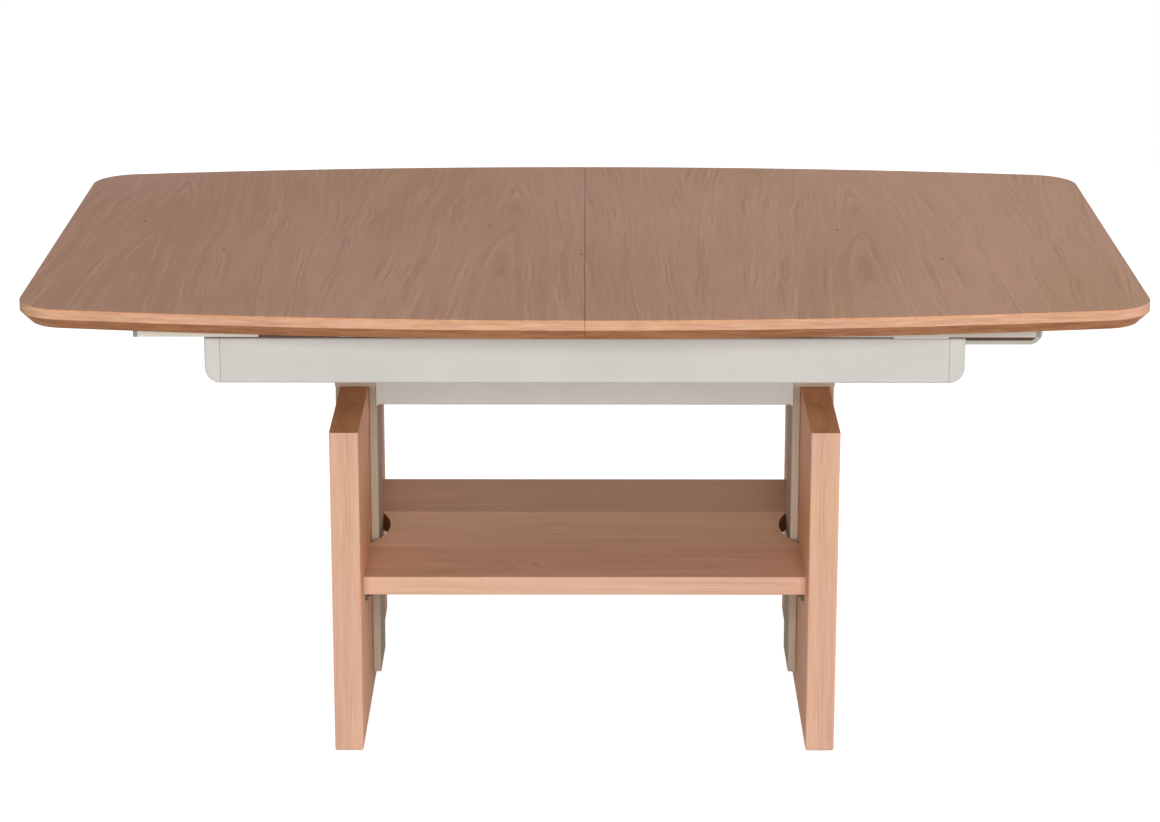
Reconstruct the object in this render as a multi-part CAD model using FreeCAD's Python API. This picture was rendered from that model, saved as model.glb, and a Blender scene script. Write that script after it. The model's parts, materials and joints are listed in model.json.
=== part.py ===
import FreeCAD, Part
import math
import os

# Lift-and-extend table: two slab legs with a shelf, a lift column on each leg,
# and a frame that carries two sliding top halves and a stored extension leaf.
# Millimetres, +X along the table, +Z up, origin on the floor under the middle.

# Top halves
top_length = 1250.0
top_width = 796.0
side_bow = 54.0
corner_radius = 57.0
top_thickness = 24.0
edge_height = 11.3
arris_radius = 0.8
veneer_thickness = 1.0
lipping_width = 18.0
seam_gap = 0.6
seam_pin_radius = 5.0
seam_pin_reach = 12.0
seam_pin_seat = 25.0
seam_pin_spacing = 260.0
seam_pin_clearance = 0.3

# Legs and their floor glides
base_length = 580.0
leg_thickness = 33.0
leg_depth = 500.0
leg_height = 387.4
leg_edge_radius = 2.5
slot_width = 64.0
slot_floor = 16.0
foot_radius = 12.5
foot_height = 2.0
foot_inset = 60.0
foot_nail_radius = 2.0
foot_nail_length = 16.0

# Shelf, its brackets and screws
shelf_depth = 387.0
shelf_thickness = 22.0
shelf_height = 196.0
shelf_edge_radius = 1.5
notch_depth = 20.5
notch_clearance = 1.5
angle_leg = 14.0
angle_width = 40.0
angle_thickness = 3.0
angle_inset = 40.0
angle_screw_offset = 10.0
wood_screw_radius = 2.0
wood_screw_length = 14.0
wood_screw_head_radius = 3.5
wood_screw_head_height = 2.5

# Lift columns
column_depth = 92.0
column_floor = 24.5
inner_projection = 9.4
outer_projection = 6.8
column_sheet = 2.2
column_edge_radius = 2.4
column_clearance = 0.5
head_gap = 0.8
head_height = 79.5
head_depth = 116.0
head_wall = 3.0

# Guides between column and leg; the shoe meets the guide block at the full lift
lift_travel = 190.0
lift_stop_gap = 0.3
shoe_height = 40.0
shoe_clearance = 0.3
guide_block_height = 36.0
guide_block_drop = 4.0

# Gas springs
cylinder_radius = 11.0
cylinder_wall = 2.0
cylinder_base = 6.0
cylinder_headroom = 15.0
gland_height = 15.0
rod_radius = 5.0
rod_passage = 3.0
piston_height = 12.0
piston_clearance = 0.3
piston_rise = 2.0
running_clearance = 0.05
anchor_height = 30.0
anchor_pin_radius = 4.0
anchor_pin_seat = 15.0
anchor_lug_width = 12.0
anchor_lug_depth = 16.0
anchor_lug_drop = 8.0
anchor_lug_rise = 10.0
cylinder_play = 0.5
rod_plate_rise = 4.2
rod_plate_thickness = 6.0
rod_nut_height = 8.0
rod_nut_width = 17.0
rod_nut_sides = 6

# Stretcher between the columns
stretcher_drop = 23.6
stretcher_height = 78.0
stretcher_sheet = 2.5
stretcher_lip = 12.0
stretcher_setback = 1.0
bracket_reach = 50.0
bracket_lip_width = 7.0
bracket_lip_rise = 1.5
bracket_lip_radius = 4.0
bolt_radius = 4.0
bolt_head_radius = 6.5
bolt_head_height = 3.5
bolt_end = 4.0
bolt_spacing = 22.0

# Frame under the top
apron_end_setback = 205.7
apron_height = 51.1
apron_setback = 70.0
apron_wall = 2.2
apron_edge_radius = 2.5
cap_length = 17.5
cap_corner_radius = 17.0
cap_seam = 0.4
cap_plug_length = 12.0
cap_plug_clearance = 0.2
cross_rail_height = 40.0
cross_rail_wall = 2.5

# Runners, glides and the gear that links the two halves
right_runner_setback = 128.5
left_runner_setback = 133.0
runner_width = 18.0
runner_height = 13.0
runner_gap = 1.6
runner_tail_extra = 45.0
runner_foot_gap = 89.0
runner_cap_length = 5.0
runner_plug_length = 10.0
slot_neck_width = 4.4
slot_neck_height = 3.0
slot_head_width = 8.4
slot_head_height = 3.6
glide_clearance = 0.2
glide_length = 60.0
glide_pad_width = 14.0
glide_station = 50.0
glide_inset = 49.0
slot_stop_gap = 1.0
end_screw_inset = 25.0
seam_screw_inset = 40.0
gear_module = 1.5
pinion_teeth = 18
flank_steps = 4
addendum_share = 0.8
dedendum_share = 1.05
pressure_angle = 20.0
backlash = 0.12
rack_margin = 12.0
axle_radius = 3.0
axle_flange_radius = 8.0
axle_flange_height = 1.8
pinion_lift = 0.3
pinion_headroom = 0.9

# Stored leaf and its rails
leaf_side_gap = 22.6
leaf_thickness = 22.0
leaf_fold_gap = 0.6
leaf_headroom = 8.4
leaf_rail_width = 24.0
leaf_rail_height = 8.0
leaf_rail_spacing = 300.0
hinge_width = 40.0
hinge_height = 36.0
hinge_thickness = 1.5
hinge_knuckle_radius = 3.0
hinge_spacing = 160.0

# Release lever, bar and valve pins
lever_rise = 27.7
lever_rod_radius = 4.5
lever_rod_lift = 2.5
lever_shaft_radius = 5.0
lever_shaft_reach = 53.2
lever_side_gap = 10.4
lever_overhang = 12.5
lever_headroom = 5.0
lever_bend_radius = 10.5
lever_swing = 6.0
lever_bearing_size = 24.0
lever_bearing_thickness = 8.0
lever_bearing_inset = 20.0
arm_length = 6.0
arm_thickness = 5.0
arm_play = 0.7
arm_overrun = 1.0
bar_width = 12.0
bar_height = 8.0
bar_rise = 11.0
bar_play = 0.3
bar_end = 12.0
valve_pin_radius = 2.0
valve_pin_length = 20.0
valve_pin_reach = 6.0
valve_pin_room = 2.0
valve_travel = 3.0
ramp_lead = 3.0
ramp_clearance = 0.8

# Cuts run past the faces that they open by this much
overrun = 1.0

# An edge follows an axis if it strays by no more than this share of its length
stray_share = 0.001

# Levels and places worked out from the sizes above
leg_out = base_length / 2
leg_in = leg_out - leg_thickness
leg_mid = (leg_in + leg_out) / 2
column_in = leg_in - inner_projection
column_out = leg_out + outer_projection
column_half = column_depth / 2
head_half = head_depth / 2
head_bottom = leg_height + head_gap
head_top = head_bottom + head_height
apron_top = head_top + apron_height
runner_bottom = apron_top + runner_gap
top_bottom = runner_bottom + runner_height
top_face = top_bottom + top_thickness
shelf_bottom = shelf_height - shelf_thickness
slot_half = slot_width / 2

pitch_radius = gear_module * pinion_teeth / 2
addendum = addendum_share * gear_module
dedendum = dedendum_share * gear_module
lane_gap = 2 * (pitch_radius - addendum)
apron_end = top_length / 2 - apron_end_setback
apron_face = top_width / 2 - apron_setback
outer_lane = apron_face - runner_width / 2
inner_lane = outer_lane - runner_width - lane_gap
pinion_y = (outer_lane + inner_lane) / 2
apron_back = inner_lane - runner_width / 2

leaf_half_width = column_in - leaf_side_gap
top_travel = leaf_half_width
right_runner_end = top_length / 2 - right_runner_setback
left_runner_end = top_length / 2 - left_runner_setback
runner_tail = top_travel + runner_tail_extra
outer_station = apron_end - glide_inset
slot_head_bottom = runner_bottom + slot_neck_height
slot_head_top = slot_head_bottom + slot_head_height
slot_start = glide_station - glide_length / 2 - top_travel - slot_stop_gap
screw_seat = slot_head_top + wood_screw_head_height + glide_clearance
foot_start = runner_tail + runner_foot_gap

anchor_top = anchor_height + anchor_lug_rise
guide_block_top = leg_height - guide_block_drop
guide_block_bottom = guide_block_top - guide_block_height
shoe_top = guide_block_bottom - lift_stop_gap - lift_travel
cylinder_top = guide_block_bottom - cylinder_headroom
rod_plate_bottom = head_bottom + rod_plate_rise
rod_plate_top = rod_plate_bottom + rod_plate_thickness
rod_top = rod_plate_top + rod_nut_height
valve_pin_top = rod_top + valve_pin_reach
bar_bottom = rod_top + bar_rise
bar_top = bar_bottom + bar_height
lever_height = head_top + lever_rise
lever_arm = lever_height - (bar_bottom + bar_top) / 2
lever_x = column_out + lever_shaft_reach
lever_y = -(apron_back - lever_side_gap)
bar_travel = lever_arm * math.radians(lever_swing)
ramp_slope = valve_travel / bar_travel

X_AXIS = FreeCAD.Vector(1, 0, 0)
Y_AXIS = FreeCAD.Vector(0, 1, 0)
ORIGIN = FreeCAD.Vector(0, 0, 0)


def at(x, y, z):
    return FreeCAD.Vector(x, y, z)


def block(low, high):
    """Box between two corners."""
    size = high - low
    return Part.makeBox(size.x, size.y, size.z, low)


def bar(radius, start, end):
    """Round bar from one point to another."""
    run = end - start
    return Part.makeCylinder(radius, run.Length, start, run)


def prism(points, direction):
    """Solid made by sweeping a flat outline along a direction."""
    outline = Part.makePolygon(points + points[:1])
    return Part.Face(outline).extrude(direction)


def across_x(shape):
    """Copy on the other side of the table, left for right."""
    return shape.mirror(ORIGIN, X_AXIS)


def across_y(shape):
    """Copy on the other side of the table, front for back."""
    return shape.mirror(ORIGIN, Y_AXIS)


def edges_along(shape, axis):
    """Straight edges that run along an axis."""
    found = []
    for edge in shape.Edges:
        run = edge.Vertexes[-1].Point - edge.Vertexes[0].Point
        if isinstance(edge.Curve, Part.Line) and run.cross(axis).Length < run.Length * stray_share:
            found.append(edge)
    return found


def edges_at_height(shape, z):
    return [edge for edge in shape.Edges
            if edge.BoundBox.ZLength < arris_radius / 2 and abs(edge.BoundBox.ZMin - z) < arris_radius / 2]


def save(name, shape):
    shape.exportStep(os.path.join("parts", name + ".step"))


def save_pair(name, right):
    """Right-hand piece and its mirror image on the left."""
    save("right_" + name, right)
    save("left_" + name, across_x(right))


def save_both_sides(name, pieces):
    """One group of the right-hand pieces and their mirror images on the left."""
    save(name, Part.makeCompound(pieces + [across_x(piece) for piece in pieces]))


# Fasteners

def wood_screw(seat, direction):
    """Pan-head screw: the head lies behind the seat, the shank runs along the direction."""
    shank = bar(wood_screw_radius, seat, seat + direction * wood_screw_length)
    head = bar(wood_screw_head_radius, seat - direction * wood_screw_head_height, seat)
    return shank.fuse(head)


def wood_screw_hole(seat, direction, thickness):
    """Hole for a screw's shank through a plate and into the wood behind it."""
    start = seat - direction * thickness
    end = seat + direction * (wood_screw_length + running_clearance)
    return bar(wood_screw_radius + running_clearance, start, end)


def cut_all(shape, tools):
    for tool in tools:
        shape = shape.cut(tool)
    return shape


# Legs, shelf and what holds them

def shelf_bracket_places():
    """Middle of each bracket on the right-hand leg, front and back."""
    offset = shelf_depth / 2 - angle_inset
    return [-offset, offset]


def shelf_screw_seats():
    """Seat and direction of each screw of the right-hand brackets."""
    seats = []
    for y in shelf_bracket_places():
        middle = (angle_leg + angle_thickness) / 2
        into_leg = at(leg_in - angle_thickness, y - angle_screw_offset, shelf_bottom - middle)
        into_shelf = at(leg_in - middle, y + angle_screw_offset, shelf_bottom - angle_thickness)
        seats.append((into_leg, at(1, 0, 0)))
        seats.append((into_shelf, at(0, 0, 1)))
    return seats


def shelf_screw_holes():
    return [wood_screw_hole(seat, way, overrun) for seat, way in shelf_screw_seats()]


def shelf_bracket(y):
    half = angle_width / 2
    outer = block(at(leg_in - angle_leg, y - half, shelf_bottom - angle_leg),
                  at(leg_in, y + half, shelf_bottom))
    reach = angle_leg + overrun
    inner = block(at(leg_in - reach, y - half - overrun, shelf_bottom - reach),
                  at(leg_in - angle_thickness, y + half + overrun, shelf_bottom - angle_thickness))
    return outer.cut(inner)


def foot_places():
    offset = leg_depth / 2 - foot_inset
    return [at(leg_mid, -offset, 0), at(leg_mid, offset, 0)]


def foot(place):
    pad = Part.makeCylinder(foot_radius, foot_height, place)
    nail = Part.makeCylinder(foot_nail_radius, foot_nail_length, place + at(0, 0, foot_height))
    return pad.fuse(nail)


def anchor_pin(radius):
    reach = slot_half + anchor_pin_seat
    return bar(radius, at(leg_mid, -reach, anchor_height), at(leg_mid, reach, anchor_height))


def leg():
    half = leg_depth / 2
    slab = block(at(leg_in, -half, foot_height), at(leg_out, half, leg_height))
    rounded = edges_along(slab, at(0, 0, 1)) + edges_at_height(slab, foot_height)
    slab = slab.makeFillet(leg_edge_radius, rounded)
    slot = block(at(leg_in - overrun, -slot_half, slot_floor),
                 at(leg_out + overrun, slot_half, leg_height + overrun))
    tools = [slot, anchor_pin(anchor_pin_radius + running_clearance)]
    for place in foot_places():
        depth = foot_height + foot_nail_length + running_clearance
        tools.append(Part.makeCylinder(foot_nail_radius + running_clearance, depth, place))
    return cut_all(slab, tools + shelf_screw_holes())


def shelf():
    half = shelf_depth / 2
    board = block(at(-leg_in, -half, shelf_bottom), at(leg_in, half, shelf_height))
    board = board.makeFillet(shelf_edge_radius, edges_along(board, X_AXIS))
    half_chord = column_half + notch_clearance
    rise = notch_depth - inner_projection - notch_clearance
    notch_radius = (half_chord ** 2 + rise ** 2) / (2 * rise)
    centre = at(leg_in - notch_depth + notch_radius, 0, shelf_bottom - overrun)
    notch = Part.makeCylinder(notch_radius, shelf_thickness + 2 * overrun, centre)
    tools = [notch] + shelf_screw_holes()
    return cut_all(board, tools + [across_x(tool) for tool in tools])


def save_base():
    save_pair("leg", leg())
    save("shelf", shelf())
    holes = shelf_screw_holes()
    brackets = [cut_all(shelf_bracket(y), holes) for y in shelf_bracket_places()]
    screws = [wood_screw(seat, way) for seat, way in shelf_screw_seats()]
    feet = [foot(place) for place in foot_places()]
    save_both_sides("shelf_brackets", brackets)
    save_both_sides("shelf_screws", screws)
    save_both_sides("foot_glides", feet)


# Gas springs and the guides in the legs

def gas_cylinder():
    bottom = at(leg_mid, 0, anchor_top)
    tube = Part.makeCylinder(cylinder_radius, cylinder_top - anchor_top, bottom)
    room = bar(cylinder_radius - cylinder_wall, bottom + at(0, 0, cylinder_base),
               at(leg_mid, 0, cylinder_top - gland_height))
    passage = bar(rod_radius + running_clearance, bottom + at(0, 0, cylinder_base),
                  at(leg_mid, 0, cylinder_top + overrun))
    lug_bottom = anchor_height - anchor_lug_drop
    lug = block(at(leg_mid - anchor_lug_width / 2, -anchor_lug_depth / 2, lug_bottom),
                at(leg_mid + anchor_lug_width / 2, anchor_lug_depth / 2, anchor_top))
    eye = anchor_pin(anchor_pin_radius + running_clearance)
    return tube.cut(room).cut(passage).fuse(lug).removeSplitter().cut(eye)


def gas_rod():
    piston_bottom = anchor_top + cylinder_base + piston_rise
    foot_point = at(leg_mid, 0, piston_bottom)
    rod = bar(rod_radius, foot_point, at(leg_mid, 0, rod_top))
    piston_radius = cylinder_radius - cylinder_wall - piston_clearance
    piston = Part.makeCylinder(piston_radius, piston_height, foot_point)
    bore_bottom = valve_pin_top - valve_pin_length - valve_travel - valve_pin_room
    bore = bar(valve_pin_radius + running_clearance, at(leg_mid, 0, bore_bottom),
               at(leg_mid, 0, rod_top + overrun))
    return rod.fuse(piston).removeSplitter().cut(bore)


def rod_plate():
    plate = block(at(column_in + head_wall, -head_half + head_wall, rod_plate_bottom),
                  at(column_out - head_wall, head_half - head_wall, rod_plate_top))
    hole = bar(rod_radius + running_clearance, at(leg_mid, 0, rod_plate_bottom - overrun),
               at(leg_mid, 0, rod_plate_top + overrun))
    return plate.cut(hole)


def rod_nut():
    step = 2 * math.pi / rod_nut_sides
    corner_reach = rod_nut_width / 2 / math.cos(step / 2)
    points = []
    for i in range(rod_nut_sides):
        x = leg_mid + corner_reach * math.cos(i * step)
        y = corner_reach * math.sin(i * step)
        points.append(at(x, y, rod_plate_top))
    hole = bar(rod_radius + running_clearance, at(leg_mid, 0, rod_plate_top - overrun),
               at(leg_mid, 0, rod_top + overrun))
    return prism(points, at(0, 0, rod_nut_height)).cut(hole)


def valve_pin():
    low = valve_pin_top - valve_pin_length
    return bar(valve_pin_radius, at(leg_mid, 0, low), at(leg_mid, 0, valve_pin_top))


def guide_block():
    body = block(at(leg_in, -slot_half, guide_block_bottom), at(leg_out, slot_half, guide_block_top))
    passage = bar(rod_radius + rod_passage, at(leg_mid, 0, guide_block_bottom - overrun),
                  at(leg_mid, 0, guide_block_top + overrun))
    return body.cut(passage)


def guide_shoe():
    half = slot_half - shoe_clearance
    bottom = shoe_top - shoe_height
    body = block(at(column_in + column_sheet, -half, bottom),
                 at(column_out - column_sheet, half, shoe_top))
    passage = bar(cylinder_radius + cylinder_play, at(leg_mid, 0, bottom - overrun),
                  at(leg_mid, 0, shoe_top + overrun))
    return body.cut(passage)


def save_gas_springs():
    save_pair("gas_cylinder", gas_cylinder())
    save_pair("gas_rod", gas_rod())
    save_pair("rod_plate", rod_plate())
    save_pair("valve_pin", valve_pin())
    save_pair("guide_block", guide_block())
    save_pair("guide_shoe", guide_shoe())
    save_both_sides("gas_anchor_pins", [anchor_pin(anchor_pin_radius)])
    save_both_sides("rod_nuts", [rod_nut()])


# Columns

def bolt_seats():
    """Bolt heads on the right-hand stretcher bracket."""
    z = head_bottom - stretcher_drop + stretcher_height / 2
    x = column_in - stretcher_sheet
    y = stretcher_setback - head_half + (stretcher_sheet + stretcher_lip + bracket_reach) / 2
    return [at(x, y - bolt_spacing / 2, z), at(x, y + bolt_spacing / 2, z)]


def bolt(seat):
    reach = stretcher_sheet + head_wall + bolt_end
    shank = bar(bolt_radius, seat, seat + at(reach, 0, 0))
    head = bar(bolt_head_radius, seat - at(bolt_head_height, 0, 0), seat)
    rim = [edge for edge in head.Edges
           if edge.BoundBox.XMax < seat.x and edge.BoundBox.XLength < bolt_head_height / 2]
    return head.makeFillet(bolt_head_height / 2, rim).fuse(shank)


def bolt_holes():
    holes = []
    for seat in bolt_seats():
        start = seat - at(overrun, 0, 0)
        end = seat + at(stretcher_sheet + inner_projection, 0, 0)
        holes.append(bar(bolt_radius + running_clearance, start, end))
    return holes


def channel(web_x, lip_x):
    """Shallow channel beside the leg, open towards the leg."""
    way = math.copysign(1, lip_x - web_x)
    low, high = min(web_x, lip_x), max(web_x, lip_x)
    body = block(at(low, -column_half, column_floor), at(high, column_half, head_bottom))
    rounded = [edge for edge in edges_along(body, at(0, 0, 1))
               if abs(edge.CenterOfMass.x - web_x) < column_sheet]
    body = body.makeFillet(column_edge_radius, rounded)
    room_web = web_x + way * column_sheet
    room_lip = lip_x + way * overrun
    room = block(at(min(room_web, room_lip), -column_half + column_sheet, column_floor - overrun),
                 at(max(room_web, room_lip), column_half - column_sheet, head_bottom + overrun))
    return body.cut(room)


def column_head(open_outside):
    """Box above the leg, with a window for the release bar."""
    body = block(at(column_in, -head_half, head_bottom), at(column_out, head_half, head_top))
    body = body.makeFillet(column_edge_radius, edges_along(body, at(0, 0, 1)))
    room = block(at(column_in + head_wall, -head_half + head_wall, head_bottom - overrun),
                 at(column_out - head_wall, head_half - head_wall, head_top - head_wall))
    window_end = column_out + overrun if open_outside else leg_mid
    window = block(at(column_in - overrun, -bar_width / 2 - bar_play, bar_bottom - bar_play),
                   at(window_end, bar_width / 2 + bar_play, bar_top + bar_play))
    return cut_all(body.cut(room).cut(window), bolt_holes())


def stretcher_bracket():
    """Side plate on the column head, with a narrow lip in front of the stretcher."""
    bottom = head_bottom - stretcher_drop
    top = bottom + stretcher_height
    front = stretcher_setback - head_half
    plate = block(at(column_in - stretcher_sheet, front, bottom),
                  at(column_in, front + bracket_reach, top))
    lip = block(at(column_in - bracket_lip_width, front, bottom + bracket_lip_rise),
                at(column_in, front + stretcher_sheet, top))
    corner = [edge for edge in edges_along(lip, Y_AXIS)
              if edge.CenterOfMass.x < column_in - bracket_lip_width / 2
              and edge.CenterOfMass.z < bottom + stretcher_height / 2]
    lip = lip.makeFillet(bracket_lip_radius, corner)
    return cut_all(plate.fuse(lip).removeSplitter(), bolt_holes())


def stretcher_plate():
    """Upright sheet behind the bracket lips, with a lip along its lower and upper edges."""
    bottom = head_bottom - stretcher_drop
    top = bottom + stretcher_height
    face = stretcher_setback - head_half + stretcher_sheet
    back = face + stretcher_lip
    end = column_in - stretcher_sheet
    body = block(at(-end, face, bottom), at(end, back, top))
    room = block(at(-end - overrun, face + stretcher_sheet, bottom + stretcher_sheet),
                 at(end + overrun, back + overrun, top - stretcher_sheet))
    rounded = [edge for edge in edges_along(body, X_AXIS) if edge.CenterOfMass.y < back - stretcher_sheet]
    return body.makeFillet(stretcher_sheet, rounded).cut(room)


def save_columns():
    save_pair("column_inner", channel(column_in, leg_in - column_clearance))
    save_pair("column_outer", channel(column_out, leg_out + column_clearance))
    save("right_column_head", column_head(True))
    save("left_column_head", across_x(column_head(False)))
    save_pair("stretcher_bracket", stretcher_bracket())
    save("stretcher_plate", stretcher_plate())
    save_both_sides("stretcher_bolts", [bolt(seat) for seat in bolt_seats()])


# Frame under the top

def apron():
    """Hollow back apron between its end caps."""
    end = apron_end - cap_length
    body = block(at(-end, apron_back, head_top), at(end, apron_face, apron_top))
    body = body.makeFillet(apron_edge_radius, edges_along(body, X_AXIS))
    room = block(at(-end - overrun, apron_back + apron_wall, head_top + apron_wall),
                 at(end + overrun, apron_face - apron_wall, apron_top - apron_wall))
    return body.cut(room)


def end_cap():
    """Cap at the right-hand end of the back apron, with a plug that fits inside it."""
    start = apron_end - cap_length + cap_seam
    body = block(at(start, apron_back, head_top), at(apron_end, apron_face, apron_top))
    middle = (start + apron_end) / 2
    corner = [edge for edge in edges_along(body, Y_AXIS)
              if edge.CenterOfMass.x > middle and edge.CenterOfMass.z < head_top + apron_height / 2]
    body = body.makeFillet(cap_corner_radius, corner)
    body = body.makeFillet(apron_edge_radius, edges_along(body, X_AXIS))
    wall = apron_wall + cap_plug_clearance
    plug = block(at(start - cap_plug_length, apron_back + wall, head_top + wall),
                 at(start, apron_face - wall, apron_top - wall))
    return body.fuse(plug)


def cross_rail():
    top = head_top + cross_rail_height
    body = block(at(column_in, -apron_back, head_top), at(column_out, apron_back, top))
    body = body.makeFillet(cross_rail_wall, edges_along(body, Y_AXIS))
    room = block(at(column_in + cross_rail_wall, -apron_back - overrun, head_top + cross_rail_wall),
                 at(column_out - cross_rail_wall, apron_back + overrun, top - cross_rail_wall))
    return body.cut(room)


def glide(x, y):
    """T-shaped glide that runs in a runner's slot."""
    start = x - glide_length / 2
    end = x + glide_length / 2
    pad = glide_pad_width / 2
    neck = slot_neck_width / 2 - glide_clearance
    head = slot_head_width / 2 - glide_clearance
    pad_top = runner_bottom - glide_clearance
    head_low = slot_head_bottom + glide_clearance
    head_high = slot_head_top - glide_clearance
    pad_part = block(at(start, y - pad, apron_top), at(end, y + pad, pad_top))
    neck_part = block(at(start, y - neck, pad_top), at(end, y + neck, head_low))
    head_part = block(at(start, y - head, head_low), at(end, y + head, head_high))
    return pad_part.fuse(neck_part).fuse(head_part).removeSplitter()


def save_frame():
    save("back_apron", apron())
    save("front_apron", across_y(apron()))
    caps = Part.makeCompound([end_cap(), across_x(end_cap())])
    save("back_end_caps", caps)
    save("front_end_caps", across_y(caps))
    save_pair("cross_rail", cross_rail())
    glides = []
    for x in (glide_station, outer_station):
        glides.append(glide(x, outer_lane))
        glides.append(glide(-x, inner_lane))
    save("back_runner_glides", Part.makeCompound(glides))
    save("front_runner_glides", Part.makeCompound([across_y(piece) for piece in glides]))


# Gear and racks

def rack_gaps(start, end, face_y, way):
    """Tooth gaps of a rack, cut into a runner's face; a gap lies at x = 0."""
    pitch = math.pi * gear_module
    slope = math.tan(math.radians(pressure_angle))
    depth = addendum + dedendum
    half_at_pitch = pitch / 4 + backlash / 2
    half_mouth = half_at_pitch + (addendum + overrun) * slope
    half_root = half_at_pitch - dedendum * slope
    mouth_y = face_y - way * overrun
    root_y = face_y + way * depth
    low = runner_bottom - overrun
    gaps = []
    for i in range(math.ceil(start / pitch), math.floor(end / pitch) + 1):
        x = i * pitch
        points = [at(x - half_mouth, mouth_y, low), at(x + half_mouth, mouth_y, low),
                  at(x + half_root, root_y, low), at(x - half_root, root_y, low)]
        gaps.append(prism(points, at(0, 0, runner_height + 2 * overrun)))
    return Part.makeCompound(gaps)


def involute_turn(radius):
    """Angle between a tooth's middle and its flank at a radius."""
    base = pitch_radius * math.cos(math.radians(pressure_angle))

    def roll(r):
        angle = math.acos(min(1, base / r))
        return math.tan(angle) - angle

    half_thickness = math.pi * gear_module / 4 - backlash / 2
    return half_thickness / pitch_radius + roll(pitch_radius) - roll(max(radius, base))


def pinion():
    """Gear on an upright axle, with teeth pointing at both racks."""
    bottom = runner_bottom + pinion_lift
    height = runner_height - pinion_lift - pinion_headroom
    tip = pitch_radius + addendum
    root = pitch_radius - dedendum
    radii = [root + (tip - root) * i / flank_steps for i in range(flank_steps + 1)]
    points = []
    for tooth in range(pinion_teeth):
        middle = math.pi / 2 + 2 * math.pi * tooth / pinion_teeth
        for side, order in ((-1, radii), (1, reversed(radii))):
            for radius in order:
                turn = middle + side * involute_turn(radius)
                points.append(at(radius * math.cos(turn), pinion_y + radius * math.sin(turn), bottom))
    bore = bar(axle_radius + running_clearance, at(0, pinion_y, bottom - overrun),
               at(0, pinion_y, bottom + height + overrun))
    return prism(points, at(0, 0, height)).cut(bore)


def pinion_axle():
    base = at(0, pinion_y, apron_top)
    flange = Part.makeCylinder(axle_flange_radius, axle_flange_height, base)
    pin = Part.makeCylinder(axle_radius, runner_gap + runner_height - pinion_headroom, base)
    return flange.fuse(pin)


# Runners under the top halves

def runner_slot(start, end, y):
    neck = slot_neck_width / 2
    head = slot_head_width / 2
    low = block(at(start, y - neck, runner_bottom - overrun), at(end, y + neck, slot_head_bottom))
    high = block(at(start, y - head, slot_head_bottom), at(end, y + head, slot_head_top))
    return low.fuse(high)


def bar_screw_stations(end):
    """Three places along a runner's bar, from the seam to its outer end."""
    last = end - end_screw_inset
    return [seam_screw_inset, (seam_screw_inset + last) / 2, last]


def right_screw_places():
    """Screws of the right-hand back runner, with their heads above the slot that the glides run in."""
    return [at(x, outer_lane, screw_seat) for x in bar_screw_stations(right_runner_end)]


def left_screw_places():
    """Screws of the left-hand back runner: three in its bar, then two in its foot."""
    bar_places = [at(-x, inner_lane, screw_seat) for x in bar_screw_stations(left_runner_end)]
    foot_ends = (foot_start + end_screw_inset, left_runner_end - end_screw_inset)
    return bar_places + [at(-x, outer_lane, screw_seat) for x in foot_ends]


def runner_screws(places):
    return [wood_screw(place, at(0, 0, 1)) for place in places]


def runner_screw_holes(places):
    """Holes for the shanks, and wider ones below that let the heads in."""
    head_radius = wood_screw_head_radius + glide_clearance
    holes = []
    for place in places:
        holes.append(wood_screw_hole(place, at(0, 0, 1), wood_screw_head_height))
        holes.append(bar(head_radius, at(place.x, place.y, runner_bottom - overrun), place))
    return holes


def right_runner(toothed):
    """Bar in the outer lane; the end of its slot at the tail is the stop of the slide."""
    half = runner_width / 2
    body = block(at(-runner_tail, outer_lane - half, runner_bottom),
                 at(right_runner_end, outer_lane + half, top_bottom))
    body = body.cut(runner_slot(slot_start, right_runner_end + overrun, outer_lane))
    if toothed:
        body = body.cut(rack_gaps(-top_travel - rack_margin, rack_margin, outer_lane - half, 1))
    return cut_all(body, runner_screw_holes(right_screw_places()))


def left_runner(toothed):
    """Bar in the inner lane with a foot that reaches out to the outer lane."""
    half = runner_width / 2
    body = block(at(-left_runner_end, inner_lane - half, runner_bottom),
                 at(runner_tail, inner_lane + half, top_bottom))
    foot_part = block(at(-left_runner_end, inner_lane + half, runner_bottom),
                      at(-foot_start, outer_lane + half, top_bottom))
    body = body.fuse(foot_part).removeSplitter()
    body = body.cut(runner_slot(-left_runner_end - overrun, -slot_start, inner_lane))
    if toothed:
        body = body.cut(rack_gaps(-rack_margin, top_travel + rack_margin, inner_lane + half, -1))
    return cut_all(body, runner_screw_holes(left_screw_places()))


def runner_cap(end, slot_y, inner_y):
    """Cap on a runner's outer end, with a plug that fits in its slot."""
    plate = block(at(end, inner_y, runner_bottom),
                  at(end + runner_cap_length, outer_lane + runner_width / 2, top_bottom))
    neck = slot_neck_width / 2 - glide_clearance
    head = slot_head_width / 2 - glide_clearance
    start = end - runner_plug_length
    neck_part = block(at(start, slot_y - neck, runner_bottom),
                      at(end, slot_y + neck, slot_head_bottom + glide_clearance))
    head_part = block(at(start, slot_y - head, slot_head_bottom + glide_clearance),
                      at(end, slot_y + head, slot_head_top - glide_clearance))
    return plate.fuse(neck_part).fuse(head_part).removeSplitter()


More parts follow.
